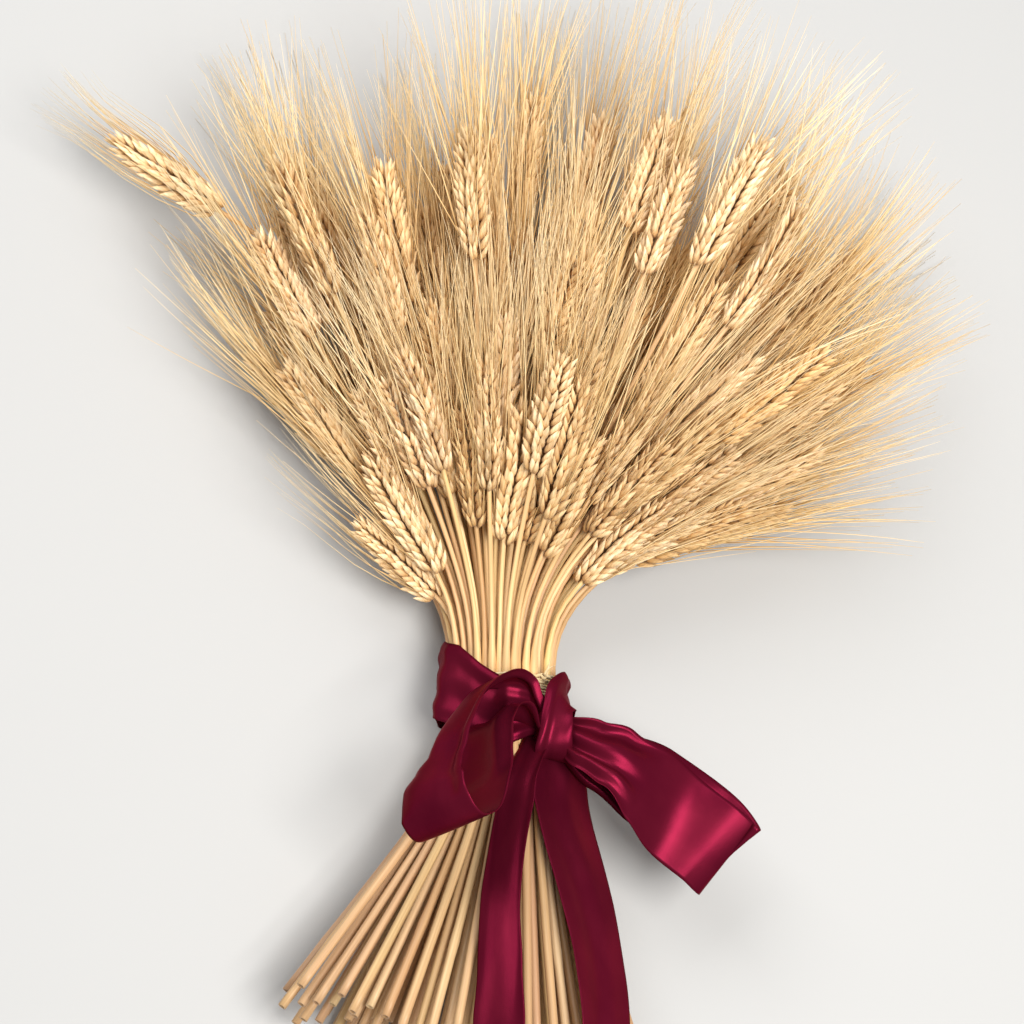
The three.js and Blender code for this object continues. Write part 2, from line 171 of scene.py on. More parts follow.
def fan(stalk):
    """The knots of a stalk's middle line, before it makes room for the others."""
    knots = np.zeros((LAST - FIRST + 1, 3))
    for way in (-1, 1):
        x, y, z = stalk.a, 0.0, stalk.b
        for n in range((-FIRST if way < 0 else LAST) + 1):
            if n or way > 0:
                # Away from the tie the straws sink by what the wrapping holds them off the floor.
                sink = 0.3 if way > 0 else -WRAP_OUT
                knots[way * n - FIRST] = x, y, z + sink * smooth(20, 70, n * KNOT)
            for i in range(4):
                s = n * KNOT + (i + 0.5) * KNOT / 4
                side, up = map(math.radians, (heading_above if way > 0 else heading_below)(stalk, s))
                step = KNOT / 4
                x += step * math.sin(side) * math.cos(up)
                y += way * step * math.cos(side) * math.cos(up)
                z += step * math.sin(up)
    return knots


def settle(stalks):
    """Stalks that the fan puts too close together push each other aside, as in the part's source."""
    start = np.array([fan(s) for s in stalks])
    line = start.copy()
    at_knot = np.arange(FIRST, LAST + 1) * KNOT

    def room(s, x):
        if x < s.butt - KNOT or x > s.tip + KNOT / 2:
            return 0
        return max(radius(s, x - 9), radius(s, x), radius(s, x + 9))

    thick = np.array([[room(s, x) for x in at_knot] for s in stalks])
    least = np.array([[max(radius(s, x), STRAW_R) for x in at_knot] for s in stalks])
    one = np.array([s.row * 100 + s.pair for s in stalks])
    mates, same = one[:, None] == one, np.eye(len(stalks), dtype=bool)
    there, loose = thick > 0, np.abs(np.arange(FIRST, LAST + 1)) >= 2
    for turn in range(ROUNDS):
        push = np.zeros_like(line)
        for n in range(len(at_knot) - 1):
            along = line[:, n + 1] - line[:, n]
            length2 = (along**2).sum(1)
            for m in (n, n + 1):
                if not loose[m]:
                    continue
                away = line[:, m][:, None] - line[:, n][None]
                t = np.clip((away * along).sum(2) / length2, 0, 1)
                away -= t[..., None] * along
                d = np.sqrt((away**2).sum(2))
                need = thick[:, m][:, None] + lerp(thick[:, n], thick[:, n + 1], t) + GAP
                # The two stalks of a pair stay pressed together in the tie.
                need = need - mates * 2.5 * (1 - smooth(20, 60, abs(at_knot[m])))
                close = (d < need) & ~same & there[:, m][:, None] & there[:, n] & there[:, n + 1]
                away *= np.where(close, 0.22 * (need - d) / np.maximum(d, 0.1), 0)[..., None]
                push[:, m] += away.sum(1)
                push[:, n] += (away * (t - 1)[..., None]).sum(0)
                push[:, n + 1] -= (away * t[..., None]).sum(0)
        moved = line - start + push
        evened = moved.copy()
        if turn < SMOOTHED:
            evened[:, 1:-1] = 0.88 * moved[:, 1:-1] + 0.06 * moved[:, :-2] + 0.06 * moved[:, 2:]
        line[:, loose] = (start + evened)[:, loose]
        line[:, loose, 2] = np.maximum(line[:, loose, 2], least[:, loose])
    for s, knots in zip(stalks, line):
        s.line = knots


def on_line(stalk, s):
    """A stalk's middle line at the distances s: the points, and the ways along, aside and upward there."""
    def point(s):
        t = np.clip(np.asarray(s, float) / KNOT - FIRST, 0, len(stalk.line) - 1.001)
        n = np.floor(t).astype(int)
        f = (t - n)[:, None]
        a, b, c, d = (stalk.line[np.clip(n + i, 0, len(stalk.line) - 1)] for i in (-1, 0, 1, 2))
        return 0.5 * (
            2 * b + (c - a) * f
            + (2 * a - 5 * b + 4 * c - d) * f**2 + (3 * b - a - 3 * c + d) * f**3
        )

    along = point(s + 4) - point(s - 4)
    along /= np.linalg.norm(along, axis=1)[:, None]
    aside = np.cross(along, (0, 0, 1))
    aside /= np.linalg.norm(aside, axis=1)[:, None]
    return point(s), along, aside, np.cross(aside, along)


stalks = plant()
settle(stalks)

# ---- where the part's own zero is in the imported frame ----
def outline(out, corners=40):
    """The held straws' outline, at a distance out from them: corners in X and Z."""
    held = np.array([on_line(s, np.array([x]))[0][0][[0, 2]] for s in stalks for x in (-20, -12, 0, 12, 24)])
    angle = 2 * math.pi * (np.arange(corners + 1) + 0.5) / corners
    reach = (held @ np.array([np.cos(angle), np.sin(angle)])).max(0) + STRAW_R + out
    a0, a1, r0, r1 = angle[:-1], angle[1:], reach[:-1], reach[1:]
    d = np.sin(a1 - a0)
    return np.array([(r0 * np.sin(a1) - r1 * np.sin(a0)) / d, (r1 * np.cos(a0) - r0 * np.cos(a1)) / d]).T


twine_low, twine_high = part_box("twine_tie")
edge = outline(TWINE_GAP + TWINE_THICK)
PLACE = np.array([
    (twine_low.x + twine_high.x) / 2 / MM - (edge[:, 0].min() + edge[:, 0].max()) / 2,
    (twine_low.y + twine_high.y) / 2 / MM - (TWINE_FROM + TWINE_TO) / 2,
    twine_low.z / MM - edge[:, 1].min(),
])


# ---- templates: one straw and a few ears, straight along +Y ----
# Lays an upright unit shape along +Y, with its lower end at zero.
ALONG_Y = Matrix.Translation((0, 0.5, 0)) @ Matrix.Rotation(-math.pi / 2, 4, "X")
STRAW_SIDES, STRAW_RINGS = 9, 30
# The hollow end: its rim and lip by the straw's radius, and its depth by the straw's length.
RIM, LIP, SUNK = 0.34, 0.02, 0.03
SPIKELETS = 26
EAR_KINDS, FULL_KINDS = 6, 3  # the kinds after the first three have fewer bristles
BALD, BALDER = 0.35, 0.55  # the share of husks without a bristle in the full kinds and in the others
LONGEST_AWN = 92
HUSK, AWN = 1, 2  # their places in wheat_materials, after the straw's


def to_mesh(bm, name):
    for face in bm.faces:
        face.smooth = True
    bmesh.ops.recalc_face_normals(bm, faces=bm.faces)
    mesh = bpy.data.meshes.new(name)
    bm.to_mesh(mesh)
    bm.free()
    return mesh


def cut_across(bm, cuts):
    """Cuts the edges that run along the whole of a unit shape."""
    long_edges = [e for e in bm.edges if abs(e.verts[0].co.y - e.verts[1].co.y) > 0.5]
    bmesh.ops.subdivide_edges(bm, edges=long_edges, cuts=cuts, use_grid_fill=True)


def straw_template():
    """A straw of unit radius and length, along +Y from its cut end, which is hollow."""
    bm = bmesh.new()
    bmesh.ops.create_cone(bm, cap_ends=True, segments=STRAW_SIDES, radius1=1, radius2=1, depth=1)
    bmesh.ops.transform(bm, verts=bm.verts, matrix=ALONG_Y)
    cut_across(bm, STRAW_RINGS)
    mouth = [f for f in bm.faces if len(f.verts) > 4 and f.calc_center_median().y < 0.01]
    for inset in (RIM, LIP):
        bmesh.ops.inset_region(bm, faces=mouth, thickness=inset)
    bmesh.ops.translate(bm, verts=list({v for f in mouth for v in f.verts}), vec=(0, SUNK, 0))
    return to_mesh(bm, "straw")


def husk_template():
    """A boat-shaped husk of unit length with its point at +Y."""
    bm = bmesh.new()
    bmesh.ops.create_uvsphere(bm, u_segments=7, v_segments=6, radius=0.5)
    bmesh.ops.transform(bm, verts=bm.verts, matrix=ALONG_Y)
    for v in bm.verts:
        t = v.co.y
        v.co.x *= 1.15 - 0.92 * t**2
        v.co.z = v.co.z * (1.12 - 0.92 * t**2) + 0.10 * math.sin(math.pi * t)
    return to_mesh(bm, "husk")


def awn_template():
    """A bristle of unit length along +Y, thinning to its tip."""
    bm = bmesh.new()
    bmesh.ops.create_cone(bm, cap_ends=True, segments=3, radius1=1, radius2=0.22, depth=1)
    bmesh.ops.transform(bm, verts=bm.verts, matrix=ALONG_Y)
    cut_across(bm, 4)
    return to_mesh(bm, "awn")


# The husks of one spikelet: aside and over from the ear's middle, how far each opens aside and over in
# degrees, length, width, depth and whether it has a bristle.
SPIKELET = [
    (2.0, 1.6, 20, 16, 10.4, 3.3, 2.9, True),
    (2.0, -1.6, 20, -16, 10.4, 3.3, 2.9, True),
    (3.0, 0.0, 31, 0, 9.8, 3.1, 2.7, True),
    (1.2, 2.7, 8, 20, 8.8, 2.9, 2.1, False),
    (1.2, -2.7, 8, -20, 8.8, 2.9, 2.1, False),
]


def ear_template(kind, husk, bristle):
    """An ear along +Y: two rows of spikelets that overlap like a plait, each with its bristles.

    Its layer fade runs from 0 at a husk's or bristle's root to 1 at its tip. tint is one chance number
    for each of them.
    """
    rng = random.Random(40 + kind)
    bm = bmesh.new()
    root_to_tip = bm.verts.layers.float.new("root_to_tip")
    tint = bm.verts.layers.float.new("tint")

    def put(mesh, matrix, slot, curve=None):
        old_verts, old_faces = len(bm.verts), len(bm.faces)
        bm.from_mesh(mesh)
        bm.verts.ensure_lookup_table()
        bm.faces.ensure_lookup_table()
        verts, own = bm.verts[old_verts:], rng.random()
        for v in verts:
            v[root_to_tip], v[tint] = v.co.y, own
            if curve:
                v.co.x += curve[0] * v.co.y**2
                v.co.z += curve[1] * v.co.y**2
        bmesh.ops.transform(bm, verts=verts, matrix=matrix)
        for face in bm.faces[old_faces:]:
            face.material_index = slot

    put(husk, Matrix.Diagonal((2.6, EAR_LENGTH - 3, 2.6, 1)), HUSK)  # the stem that the spikelets sit on
    for i in range(SPIKELETS):
        share = i / (SPIKELETS - 1)
        side = 1 if i % 2 else -1
        full = 0.62 + 0.46 * math.sin(math.pi * min(1, 0.16 + 0.8 * share)) ** 0.8
        y = 0.5 + share * (EAR_LENGTH - 10)
        for aside, over, out, lean, length, width, depth, awned in SPIKELET:
            size = full * rng.uniform(0.93, 1.07)
            if share > 0.96:  # the topmost spikelet stands straight
                out, aside = out * 0.4, aside * 0.4
            out = math.radians(out + rng.uniform(-6, 8))
            lean = math.radians(lean + rng.uniform(-7, 7))
            root = Vector((side * aside * full, y + rng.uniform(-0.4, 0.4), over * full))
            twist = math.radians(rng.uniform(-25, 25))
            turn = Matrix.Rotation(-side * out, 4, "Z") @ Matrix.Rotation(lean, 4, "X")
            turn = turn @ Matrix.Rotation(twist, 4, "Y")
            length *= 0.5 + 0.5 * size
            shape = Matrix.Diagonal((width * size, length, depth * size * (1 if over >= 0 else -1), 1))
            put(husk, Matrix.Translation(root) @ turn @ shape, HUSK)
            if not awned or rng.random() < (BALD if kind < FULL_KINDS else BALDER):
                continue
            tip = root + turn @ Vector((0, length * 0.93, 0))
            reach = min(LONGEST_AWN, EAR_LENGTH + AWN_LENGTH * (0.62 + 0.36 * share) - tip.y)
            reach *= rng.uniform(0.86, 1.04)
            spread = math.radians(rng.uniform(3, 13) + 5 * (1 - share))
            sideways = math.radians(rng.gauss(0, 7) + 0.35 * math.degrees(lean))
            aim = Matrix.Rotation(-side * spread, 4, "Z") @ Matrix.Rotation(sideways, 4, "X")
            thick = rng.uniform(0.26, 0.4)
            curve = rng.gauss(0, 5), rng.gauss(0, 5)
            shape = Matrix.Diagonal((thick, reach, thick, 1))
            put(bristle, Matrix.Translation(tip) @ aim @ shape, AWN, curve)
    return to_mesh(bm, f"ear_{kind}")


def layer(mesh, name):
    """A float layer of a template's vertices."""
    values = np.zeros(len(mesh.vertices))
    mesh.attributes[name].data.foreach_get("value", values)
    return values


def points_of(mesh):
    co = np.zeros(len(mesh.vertices) * 3)
    mesh.vertices.foreach_get("co", co)
    return co.reshape(-1, 3)


def bent_along(stalk, s, aside, over):
    """Points aside and over from a stalk's middle line, s along it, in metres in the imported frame."""
    middle, _, x, z = on_line(stalk, s)
    return (middle + x * aside[:, None] + z * over[:, None] + PLACE) * MM


straw_mesh, husk_mesh, awn_mesh = straw_template(), husk_template(), awn_template()
ear_meshes = [ear_template(kind, husk_mesh, awn_mesh) for kind in range(EAR_KINDS)]
pick = random.Random(7)


def stalk_parts(stalk):
    """A stalk's straw and ear: of each the template, the bent points, the unbent points and the layers."""
    tone = pick.random()
    # painted shade: stalks that lie inside the sheaf, under the others, are painted darker and browner
    painted_shade = max(0, 0.7 - stalk.height) / 0.7 * (1 - stalk.u**2)  # lies inside, under the others

    co = points_of(straw_mesh)
    share, end = co[:, 1], stalk.ear + 5
    s = stalk.butt + share * (end - stalk.butt)
    at = [*np.arange(-180, stalk.ear, 10), stalk.ear - 0.1]
    thick = 0.9 * np.interp(s, at, [radius(stalk, x) for x in at])
    thick = np.minimum(thick, lerp(STRAW_R, 1.05, smooth(4, 36, s)))
    joint = stalk.butt + pick.uniform(25, 120)  # the straw's knot
    thick *= 1 + 0.14 * np.exp(-(((s - joint) / 2.2) ** 2))
    x, z = co[:, 0] * thick, co[:, 2] * thick
    dark_joint = np.exp(-(((s - joint) / 3.0) ** 2)) * (pick.random() < 0.35)
    offset = pick.uniform(0, 500)  # so that no two straws have the same streaks
    up_straw = (s - stalk.butt) / (end - stalk.butt)
    layers = {"root_to_tip": up_straw, "tint": dark_joint, "tone": tone, "painted_shade": painted_shade * smooth(0, 60, s)}
    yield straw_mesh, bent_along(stalk, s, x, z), np.stack([x, s + offset, z], 1) * MM, layers

    ear = pick.choice(ear_meshes[:FULL_KINDS] if stalk.row < 5 else ear_meshes[FULL_KINDS:])
    co = points_of(ear)
    roll = pick.uniform(0, 2 * math.pi)
    pick.choice((-1, 1))  # thrown away, to keep the later draws as they are
    size = pick.uniform(0.92, 1.06)
    x = (co[:, 0] * math.cos(roll) + co[:, 2] * math.sin(roll)) * size
    z = (co[:, 2] * math.cos(roll) - co[:, 0] * math.sin(roll)) * size
    y = co[:, 1]
    beyond = stalk.ear_length + (y - EAR_LENGTH) * stalk.awn / AWN_LENGTH
    s = stalk.ear + np.where(y < EAR_LENGTH, y * stalk.ear_length / EAR_LENGTH, beyond)
    closed = lerp(1, stalk.close, smooth(0.25 * EAR_LENGTH, EAR_LENGTH + 20, y))  # how close its bristles lie
    nod = pick.gauss(0, 1.0)
    x, z = x * closed + nod * (y / 60) ** 2 * 2, z * closed
    # the painted shade gives way where the bristles reach out beyond the sheaf
    painted_shade = painted_shade * (1 - 0.85 * smooth(190, 290, s))
    layers = {"root_to_tip": layer(ear, "root_to_tip"), "tint": layer(ear, "tint"), "tone": tone, "painted_shade": painted_shade}
    yield ear, bent_along(stalk, s, x, z), co * MM + (0, offset * MM, 0), layers


NEAR_FLOOR = 0.003  # lower down, bristles lie flatter and flatter on the floor
HIGH, HIGHER = 0.142, 0.016  # from the first height up, bristles bend over, by the second at most


def stalk_pair(name, pair, materials):
    templates, places, rests, layers = zip(*(part for stalk in pair for part in stalk_parts(stalk)))
    bm = bmesh.new()
    for template in templates:
        bm.from_mesh(template)
    mesh = bpy.data.meshes.new(name)
    bm.to_mesh(mesh)
    bm.free()
    for old in list(mesh.attributes):
        if old.name in ("root_to_tip", "tint"):
            mesh.attributes.remove(old)
    place = np.vstack(places)
    z = place[:, 2]
    z = np.where(z < NEAR_FLOOR, NEAR_FLOOR**2 / np.maximum(2 * NEAR_FLOOR - z, NEAR_FLOOR), z)
    over = np.maximum(z - HIGH, 0)
    place[:, 2] = z - (over - HIGHER * (1 - np.exp(-over / HIGHER)))
    mesh.vertices.foreach_set("co", place.ravel())
    mesh.attributes.new("rest", "FLOAT_VECTOR", "POINT").data.foreach_set("vector", np.vstack(rests).ravel())
    for layer_name in ("root_to_tip", "tint", "tone", "painted_shade"):
        values = np.concatenate([np.broadcast_to(own[layer_name], len(p)) for own, p in zip(layers, places)])
        mesh.attributes.new(layer_name, "FLOAT", "POINT").data.foreach_set("value", values.astype(float))
    for material in materials:
        mesh.materials.append(material)
    mesh.update()
    piece = bpy.data.objects.new(name, mesh)
    bpy.context.scene.collection.objects.link(piece)
    return piece


# ---- materials ----
class Skin:
    """A material and the nodes that lead to its shader."""

    def __init__(self, name, roughness, **sockets):
        self.made = bpy.data.materials.new(name)
        self.made.use_nodes = True
        self.nodes, self.links = self.made.node_tree.nodes, self.made.node_tree.links
        self.shader = self.nodes["Principled BSDF"]
        self.shader.inputs["Roughness"].default_value = roughness
        for socket, value in sockets.items():
            self.shader.inputs[socket.replace("_", " ")].default_value = value

    def layer(self, name, output="Fac"):
        node = self.nodes.new("ShaderNodeAttribute")
        node.attribute_name = name
        return node.outputs[output]

    def noise(self, scale, detail=3.0):
        """Noise on the points before bending, so that it runs along each straw, husk, twine or ribbon."""
        where = self.nodes.new("ShaderNodeMapping")
        where.inputs["Scale"].default_value = scale
        self.links.new(self.layer("rest", "Vector"), where.inputs["Vector"])
        noise = self.nodes.new("ShaderNodeTexNoise")
        noise.inputs["Scale"].default_value = 1.0
        noise.inputs["Detail"].default_value = detail
        self.links.new(where.outputs["Vector"], noise.inputs["Vector"])
        return noise.outputs["Fac"]

    def ramp(self, source, stops):
        node = self.nodes.new("ShaderNodeValToRGB")
        elements = node.color_ramp.elements
        while len(elements) < len(stops):
            elements.new(0.5)
        for element, (at, colour) in zip(elements, stops):
            element.position, element.color = at, (*colour, 1)
        self.links.new(source, node.inputs["Fac"])
        return node.outputs["Color"]

    def mixed(self, how, amount, first, second):
        node = self.nodes.new("ShaderNodeMix")
        node.data_type, node.blend_type = "RGBA", how
        sockets = node.inputs["Factor"], node.inputs[6], node.inputs[7]
        for socket, value in zip(sockets, (amount, first, second)):
            if isinstance(value, (int, float)):
                socket.default_value = value
            elif isinstance(value, tuple):
                socket.default_value = (*value, 1)
            else:
                self.links.new(value, socket)
        return node.outputs[2]

    def tinted(self, colour, by, stops, amount=1.0):
        """A colour multiplied by what a ramp makes of another value."""
        return self.mixed("MULTIPLY", amount, colour, self.ramp(by, stops))

    def painted_shade_inside(self, colour):
        """Painted shade: the stalks that lie inside the sheaf, under the others, are painted darker and
        browner.
        """
        return self.tinted(colour, self.layer("painted_shade"), [
            (0.0, (1, 1, 1)),
            (0.4, (0.93, 0.84, 0.70)),
            (1.0, (0.74, 0.56, 0.38)),
        ])

    def finished(self, colour, height=None, strength=0.0, distance=0.0):
        """The material with its colour and, from a height, its relief."""
        self.links.new(colour, self.shader.inputs["Base Color"])
        if height:
            node = self.nodes.new("ShaderNodeBump")
            node.inputs["Strength"].default_value = strength
            node.inputs["Distance"].default_value = distance
            self.links.new(height, node.inputs["Height"])
            self.links.new(node.outputs["Normal"], self.shader.inputs["Normal"])
        return self.made


def straw_material():
    skin = Skin("straw_skin", 0.42, Specular_IOR_Level=0.35)
    colour = skin.ramp(skin.layer("tone"), [
        (0.0, (0.42, 0.25, 0.12)),
        (0.3, (0.58, 0.39, 0.20)),
        (0.55, (0.50, 0.31, 0.18)),
        (0.8, (0.58, 0.41, 0.19)),
        (1.0, (0.68, 0.49, 0.29)),
    ])
    streaks = skin.noise((900, 22, 900), 4)
    colour = skin.tinted(colour, streaks, [(0.3, (0.62, 0.50, 0.40)), (0.62, (1.15, 1.12, 1.05))], 0.55)
    blotches = skin.ramp(skin.noise((60, 9, 60), 2), [(0.45, (0, 0, 0)), (0.75, (0.7, 0.7, 0.7))])
    colour = skin.mixed("MIX", blotches, colour, (0.55, 0.30, 0.16))
    colour = skin.mixed("MIX", skin.layer("tint"), colour, (0.22, 0.11, 0.04))
    colour = skin.tinted(colour, skin.layer("root_to_tip"), [(0.42, (1, 1, 1)), (0.62, (1.35, 1.40, 1.30))])
    return skin.finished(skin.painted_shade_inside(colour), streaks, 0.35, 0.0003)


def husk_material():
    skin = Skin("husk_skin", 0.55, Specular_IOR_Level=0.3, Sheen_Weight=0.15)
    # painted shade: each husk darkens to brown towards its root, where the husks overlap
    colour = skin.ramp(skin.layer("root_to_tip"), [
        (0.0, (0.46, 0.25, 0.09)),
        (0.3, (0.80, 0.60, 0.34)),
        (0.7, (0.98, 0.85, 0.62)),
        (1.0, (0.92, 0.74, 0.48)),
    ])
    veins = skin.noise((1500, 120, 1500))
    colour = skin.tinted(colour, veins, [(0.3, (0.62, 0.48, 0.36)), (0.6, (1.12, 1.10, 1.06))], 0.7)
    colour = skin.tinted(colour, skin.layer("tint"), [
        (0.0, (0.70, 0.59, 0.46)),
        (0.5, (0.93, 0.90, 0.85)),
        (1.0, (1.04, 1.03, 1.02)),
    ])
    colour = skin.tinted(colour, skin.layer("tone"), [
        (0.0, (0.88, 0.74, 0.52)),
        (0.35, (1.0, 0.96, 0.88)),
        (0.7, (1.05, 1.02, 1.0)),
        (1.0, (0.95, 0.86, 0.68)),
    ])
    return skin.finished(skin.painted_shade_inside(colour), veins, 0.45, 0.0004)


def awn_material():
    skin = Skin("awn_skin", 0.45, Specular_IOR_Level=0.4)
    colour = skin.ramp(skin.layer("root_to_tip"), [
        (0.0, (0.84, 0.61, 0.32)),
        (0.4, (0.94, 0.77, 0.48)),
        (1.0, (0.95, 0.81, 0.57)),
    ])
    colour = skin.tinted(colour, skin.layer("tone"), [
        (0.0, (0.97, 0.86, 0.66)),
        (0.5, (1.0, 0.99, 0.96)),
        (1.0, (1.0, 0.95, 0.86)),
    ])
    colour = skin.tinted(colour, skin.layer("tint"), [(0.0, (0.80, 0.70, 0.58)), (1.0, (1.1, 1.1, 1.1))])
    return skin.finished(skin.painted_shade_inside(colour))


wheat_materials = [straw_material(), husk_material(), awn_material()]
for i in range(len(stalks) // 2):
    node = f"wheat_stalks_{i + 1:02d}"
    piece = stalk_pair(f"wheat_{i + 1:02d}", stalks[2 * i : 2 * i + 2], wheat_materials)
    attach(piece, "root")
    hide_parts(node)

# ---- the twine: a dozen turns round the straws, a small knot and a loose end ----
def smooth_line(points, t):
    """Places on a smooth line through the points, t counted in points from the first."""
    p = np.vstack([2 * points[0] - points[1], points, 2 * points[-1] - points[-2]])
    n = np.clip(np.floor(t).astype(int), 0, len(points) - 2)
    f = (t - n)[:, None]
    a, b, c, d = (p[n + i] for i in range(4))
    steps = (np.linalg.norm(step, axis=1) for step in (b - a, c - b, d - c))
    ab, bc, cd = (np.maximum(step, 1e-6)[:, None] ** 0.5 for step in steps)
    out = ((b - a) / ab - (c - a) / (ab + bc) + (c - b) / bc) * bc
    home = ((c - b) / bc - (d - b) / (bc + cd) + (d - c) / cd) * bc
    return b + out * f + (3 * (c - b) - 2 * out - home) * f**2 + (2 * (b - c) + out + home) * f**3


def directions(line):
    """Unit directions along a line of places."""
    along = np.gradient(line, axis=0)
    return along / np.linalg.norm(along, axis=1)[:, None]


def lengths(line):
    """How far along a line of places each one is."""
    return np.concatenate([[0], np.cumsum(np.linalg.norm(np.diff(line, axis=0), axis=1))])


TWINE_R = 0.62
TWINE_SIDES = 8
TWINE_LAY = 3.2  # between two crossings of its two plies
TWINE_TURNS, TWINE_START, TWINE_RINGS = 12, 0.14, 3000  # it starts at this share of a turn
TWINE_CORNERS = 72  # of the outline that it goes round
TWINE_OUT = TWINE_GAP + 0.1  # from the straws to the twine's inner side
KNOT_CORNER = 10  # the outline's corner under the twine's knot


def twine_tube(bm, line, rest, thin_end=False):
    """A two-ply twine along a line of places, with its length and its turn kept in the layer rest."""
    grid = bmesh.ops.create_grid(bm, x_segments=TWINE_SIDES, y_segments=len(line) - 1, size=0.5)
    verts = grid["verts"]
    ring = np.array([round((v.co.y + 0.5) * (len(line) - 1)) for v in verts])
    angle = 2 * math.pi * np.array([round((v.co.x + 0.5) * TWINE_SIDES) for v in verts]) / TWINE_SIDES
    along = directions(line)
    aside = np.cross(along, (0.02, 1, 0.03))
    aside /= np.linalg.norm(aside, axis=1)[:, None]
    over = np.cross(aside, along)
    length = lengths(line)
    r = TWINE_R * (0.86 + 0.14 * np.cos(2 * (angle - math.pi * length[ring] / TWINE_LAY)))
    if thin_end:
        r *= np.clip((length[-1] - length[ring]) / 4, 0.25, 1)
    place = line[ring] + aside[ring] * (r * np.cos(angle))[:, None]
    place = place + over[ring] * (r * np.sin(angle))[:, None]
    for v, p, s, a in zip(verts, (place + PLACE) * MM, length[ring], angle):
        v.co, v[rest] = p, (a * TWINE_R * MM, s * MM, 0)
    bmesh.ops.remove_doubles(bm, verts=verts, dist=1e-7)
    open_ends = [e for e in bm.edges if e.is_boundary]
    bmesh.ops.holes_fill(bm, edges=open_ends, sides=TWINE_SIDES)


def twine():
    bm = bmesh.new()
    rest = bm.verts.layers.float_vector.new("rest")
    ring = outline(TWINE_OUT + TWINE_R, TWINE_CORNERS)
    turn = np.linspace(TWINE_START, TWINE_TURNS + TWINE_START, TWINE_RINGS)
    corner = np.arange(TWINE_CORNERS + 1)
    where = np.interp(turn % 1, corner / TWINE_CORNERS, corner)
    low = np.floor(where).astype(int) % TWINE_CORNERS
    edge = lerp(ring[low], ring[(low + 1) % TWINE_CORNERS], (where % 1)[:, None])
    y = lerp(TWINE_FROM + TWINE_R, TWINE_TO - TWINE_R, np.linspace(0, 1, TWINE_RINGS))
    y = y + 0.12 * np.sin(turn * 9.1)  # the turns don't lie quite evenly
    twine_tube(bm, np.stack([edge[:, 0], y, edge[:, 1]], 1), rest)
    x, z = outline(TWINE_OUT + 2.4 * TWINE_R, TWINE_CORNERS)[KNOT_CORNER]
    for k, way in enumerate((1, -1)):
        knot = np.array([
            (x - 3.4 * way, 8.8, z - 0.2),
            (x - 1.2 * way, 9.6, z + 0.8),
            (x + 0.9, 9.2 - way, z + 1.4 * k),
            (x + 2.2 + k, 12.0 + k, z + 0.6),
            (x + 3.0 + 2 * k, 16.5 - 3 * k, z + 2.4),
        ])
        twine_tube(bm, smooth_line(knot, np.linspace(0, len(knot) - 1, 60)), rest, thin_end=True)
    return to_mesh(bm, "twine")


# ---- the ribbon: one strip of satin for the turn round the waist, the knot, two loops and two tails ----
def chord(stalk, s):
    """A point on the straight stretch between two knots of a stalk's middle line, as the part has it."""
    t = s / KNOT - FIRST
    n = max(0, min(len(stalk.line) - 2, math.floor(t)))
    return lerp(stalk.line[n], stalk.line[n + 1], t - n)


REST_ENDS = [-60, -20, -10, 10, 20, 40]  # where a straw's straight stretches under the ribbon end, along it
STRAW_STRETCHES = np.array([
    [chord(s, x), chord(s, y)] for s in stalks for x, y in zip([s.butt, *REST_ENDS], REST_ENDS)
])
LIES_OVER = 2.2  # from the straws up to a tail's middle


def top_at(x, y):
    """The height of the straws' upper side over a point."""
    p, q = STRAW_STRETCHES[:, 0], STRAW_STRETCHES[:, 1]
    t = (y - p[:, 1]) / (q[:, 1] - p[:, 1])
    dx = x - lerp(p[:, 0], q[:, 0], t)
    r = STRAW_R + 0.3
    over = (t >= 0) & (t <= 1) & (np.abs(dx) < r)
    return float((lerp(p[:, 2], q[:, 2], t) + np.sqrt(np.maximum(0, r * r - dx * dx)))[over].max(initial=0))


def lying(x, y, tilt, width):
    """A tail's station on the straws. Its right edge is the lower one where tilt, in degrees, is positive."""
    across = np.array([math.cos(math.radians(tilt)), 0, -math.sin(math.radians(tilt))])
    z = max(
        top_at(x + t * width * across[0], y + near) + LIES_OVER - t * width * across[2]
        for t in np.linspace(-0.5, 0.5, 11) for near in range(16, -13, -4)
    )
    return (x, y, z), across, width


KNOT_X, KNOT_Y, KNOT_Z = 16, -14, top_at(13, -8) + WRAP_OUT + 4
TAIL_END = -158
LOOP_LEAN = (0.594, 0.207, 0.779)  # the width's direction all round the outer part of the left loop
kz = KNOT_Z
# Each station is the strip's middle, the direction of its width and the width that the gathers leave it.
LOOP_LEFT = [
    ((12, -12, kz), (0.3, 0.6, 0.75), 11),
    ((7.5, -3, kz + 2.5), (0.45, 0.4, 0.8), 12),
    ((3.5, 4, kz + 4), (0.52, 0.3, 0.8), 14),
    ((-4.5, 5.5, kz + 9.5), (0.5, 0.25, 0.83), 17),
    ((-13.5, 1.5, kz + 17), (0.45, 0.2, 0.87), 19),
    ((-22.3, -6.6, kz + 29), (0.45, 0.2, 0.87), 18),
    ((-33.6, -23.7, kz + 44.5), LOOP_LEAN, 20.5),
    ((-37, -33, kz + 48.5), LOOP_LEAN, 22.5),
    ((-40.5, -39.8, kz + 50.5), LOOP_LEAN, 29),
    ((-43, -46.5, kz + 52.5), LOOP_LEAN, 36),
    ((-42.5, -57, kz + 55), LOOP_LEAN, 38),
    ((-36.5, -63.5, kz + 52), LOOP_LEAN, 38),
    ((-28.5, -60, kz + 45), LOOP_LEAN, 38),
    ((-22.6, -45.6, kz + 36.5), LOOP_LEAN, 38),
    ((-19.6, -31, kz + 27), LOOP_LEAN, 36),
    ((-15.5, -16, kz + 19), LOOP_LEAN, 33),
    ((-4, -9, kz + 10), (0.5, 0.3, 0.8), 25),
    ((12, -15, kz - 1), (0.1, -0.3, 0.95), 11),
]
